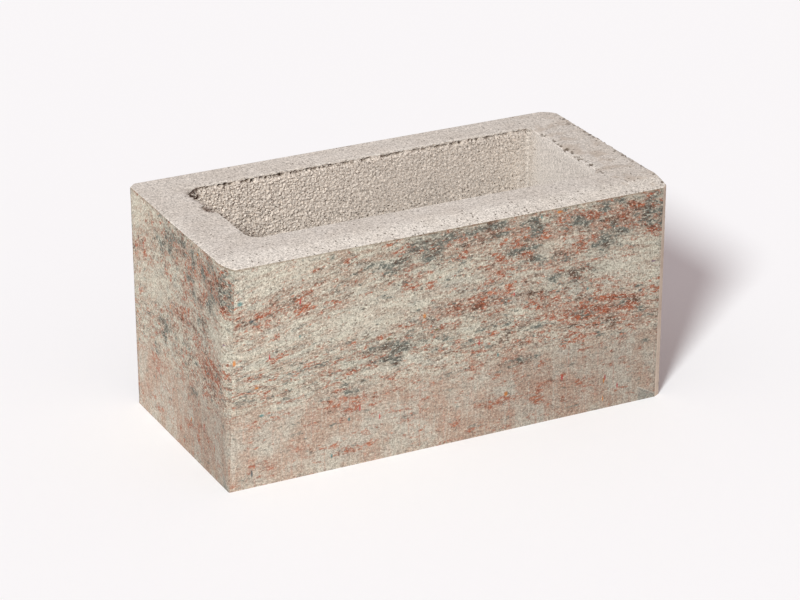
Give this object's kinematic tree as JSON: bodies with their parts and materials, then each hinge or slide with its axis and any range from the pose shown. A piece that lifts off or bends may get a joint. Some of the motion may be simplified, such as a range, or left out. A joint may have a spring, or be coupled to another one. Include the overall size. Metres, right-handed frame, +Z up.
{
  "type": "fence block",
  "caption": "Hollow concrete fence block with mottled coloured outer faces and a tapered core right through it, for dry stacking or mortaring and filling with concrete.",
  "frame": {"origin": "middle of the bed, the face the block stands on", "axes": "+X along the block's length, +Y from the front face to the back face, +Z up"},
  "size_m": [0.39, 0.19, 0.19],
  "materials": {
    "coloured_concrete": "pressed concrete with streaks of red, charcoal and cream colour on the outer faces, bare grey on the top and in the core"
  },
  "bodies": {
    "root": {"fence_block": "coloured_concrete"}
  },
  "joints": []
}
